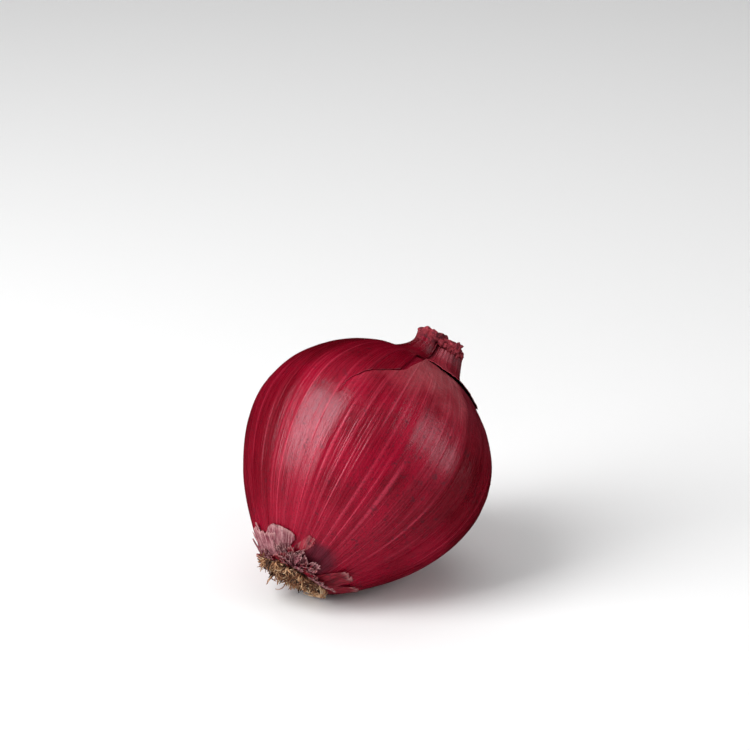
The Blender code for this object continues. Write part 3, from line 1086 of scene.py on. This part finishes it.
class OnionLook(bpy.types.PropertyGroup):
    """Colours of the skins and the roots."""

    bright: tint("Bright skin", "Crimson of the fresh-looking skin", (0.265, 0.0020, 0.018))
    deep: tint("Deep skin", "Darker crimson between the bright areas", (0.165, 0.0010, 0.009))
    vein: tint("Veins", "Pink of the veins that run from root to neck", (0.56, 0.044, 0.086))
    band: tint("Bands", "Lighter red of the broad bands and fine lines", (0.34, 0.0042, 0.025))
    gloss: tint("Gloss", "Tint of the light that the skin reflects", (1.0, 0.78, 0.88))
    speck: tint("Specks", "Dark specks in the skin", (0.055, 0.004, 0.012))
    # The colour that the painted shade multiplies the skin by, at the sides and towards the neck.
    shade: tint("Deep tint", "What the skin is multiplied by where it is deepest", (0.52, 0.22, 0.34))
    dry: tint("Dry skin", "Greyish pink of the outer skin near the neck", (0.34, 0.078, 0.088))
    stain: tint("Root stain", "Brownish purple round the root plate", (0.075, 0.012, 0.022))
    flake_deep: tint("Flakes", "Mauve of the loose flakes", (0.20, 0.030, 0.050))
    flake_pale: tint("Pale flakes", "Paler mauve of their fibres", (0.43, 0.20, 0.215))
    flake_edge: tint("Flake edges", "Pinkish grey of their torn edges", (0.56, 0.30, 0.29))
    neck_deep: tint("Neck", "Dark crimson of the dried neck", (0.12, 0.004, 0.012))
    neck_rust: tint("Neck rust", "Rusty red of the crushed neck", (0.23, 0.013, 0.021))
    neck_crumb: tint("Neck crumbs", "Pink of the crumbs on the neck's edge", (0.40, 0.040, 0.058))
    root_tan: tint("Tan roots", "Tan of the dried roots", (0.46, 0.245, 0.12))
    root_brown: tint("Brown roots", "Brown of the older roots", (0.20, 0.070, 0.030))
    root_pale: tint("Pale roots", "Straw colour of the thin roots", (0.66, 0.48, 0.30))
    soil: tint("Soil", "Dark soil between the roots", (0.035, 0.016, 0.008))
    vein_strength: FloatProperty(name="Veins", description="How clear the veins are", default=1.0, min=0.0)
    shine: FloatProperty(name="Shine", description="Level of the reflection", default=0.45, min=0.0, max=1.0)


class OnionRoots(bpy.types.PropertyGroup):
    """Sizes of the dried roots."""

    count: IntProperty(name="Roots", description="How many roots there are", default=600, min=1)
    length: FloatProperty(name="Length", description="Middle length of a root", default=0.0036, unit="LENGTH")
    thickness: FloatProperty(name="Thickness", description="Middle thickness", default=0.00064, unit="LENGTH")


class OnionStage(bpy.types.PropertyGroup):
    """Camera and light."""

    azimuth: FloatProperty(name="Azimuth", description="Of the camera, in degrees", default=-48.4)
    elevation: FloatProperty(name="Elevation", description="Of the camera, in degrees", default=22.0)
    camera_distance: FloatProperty(name="Distance", description="To the onion", default=0.95, unit="LENGTH")
    photo_size: IntProperty(name="Photo size", description="Pixels on a side of the photograph", default=750)
    pixels_per_metre: FloatProperty(name="Scale", description="Pixels to a metre at the onion", default=3360)
    ring_pixel: FloatVectorProperty(
        name="Ring pixel", description="Widest ring's centre in the photo", size=2, default=(370.6, 448.9)
    )
    key_light: FloatProperty(name="Left box", description="Radiance", default=7.8)
    front_light: FloatProperty(name="Front box", description="Radiance", default=0.6)
    side_light: FloatProperty(name="Right box", description="Radiance", default=3.4)
    top_light: FloatProperty(name="Top box", description="Radiance", default=1.12)
    room_light: FloatProperty(name="Room light", description="Strength of the even light", default=0.18)


class ONION_OT_body(bpy.types.Operator):
    """Make the body of the bulb with its neck"""

    bl_idname = "onion.body"
    bl_label = "Body"

    def execute(self, context):
        make_body(context.scene.onion_look)
        return {"FINISHED"}


class ONION_OT_outer_skins(bpy.types.Operator):
    """Make the torn skins over the shoulder"""

    bl_idname = "onion.outer_skins"
    bl_label = "Outer Skins"

    def execute(self, context):
        make_outer_skins(context.scene.onion_look)
        return {"FINISHED"}


class ONION_OT_neck(bpy.types.Operator):
    """Make the collar and the crushed layers of the neck"""

    bl_idname = "onion.neck"
    bl_label = "Neck"

    def execute(self, context):
        make_collar(context.scene.onion_look)
        make_crest(context.scene.onion_look)
        return {"FINISHED"}


class ONION_OT_root_flaps(bpy.types.Operator):
    """Make the loose skin round the root plate"""

    bl_idname = "onion.root_flaps"
    bl_label = "Root Flaps"

    def execute(self, context):
        make_root_flaps(context.scene.onion_look)
        return {"FINISHED"}


class ONION_OT_roots(bpy.types.Operator):
    """Make the root plate and the dried roots"""

    bl_idname = "onion.roots"
    bl_label = "Roots"

    def execute(self, context):
        make_root_plate(context.scene.onion_look)
        make_roots(context.scene.onion_roots, context.scene.onion_look)
        return {"FINISHED"}


class ONION_OT_stage(bpy.types.Operator):
    """Make the floor, the camera and the lights"""

    bl_idname = "onion.stage"
    bl_label = "Stage"

    def execute(self, context):
        make_stage(context.scene.onion_stage)
        return {"FINISHED"}


MAKERS = (
    ONION_OT_body,
    ONION_OT_outer_skins,
    ONION_OT_neck,
    ONION_OT_root_flaps,
    ONION_OT_roots,
    ONION_OT_stage,
)


class ONION_PT_panel(bpy.types.Panel):
    """Lists what the add-on makes"""

    bl_idname = "ONION_PT_panel"
    bl_label = "Red Onion"
    bl_space_type = "VIEW_3D"
    bl_region_type = "UI"
    bl_category = "Onion"

    def draw(self, context):
        for maker in MAKERS:
            self.layout.operator(maker.bl_idname)
        for group in (context.scene.onion_look, context.scene.onion_roots, context.scene.onion_stage):
            box = self.layout.box()
            for name in group.__annotations__:
                box.prop(group, name)


GROUPS = {"onion_look": OnionLook, "onion_roots": OnionRoots, "onion_stage": OnionStage}


def register():
    for group in (*GROUPS.values(), *MAKERS, ONION_PT_panel):
        bpy.utils.register_class(group)
    for name, group in GROUPS.items():
        setattr(bpy.types.Scene, name, PointerProperty(type=group))


def unregister():
    for name in GROUPS:
        delattr(bpy.types.Scene, name)
    for group in (ONION_PT_panel, *reversed(MAKERS), *reversed(GROUPS.values())):
        bpy.utils.unregister_class(group)


def main():
    register()
    bpy.ops.onion.body()
    bpy.ops.onion.outer_skins()
    bpy.ops.onion.neck()
    bpy.ops.onion.root_flaps()
    bpy.ops.onion.roots()
    bpy.ops.onion.stage()


if __name__ == "__main__":
    main()
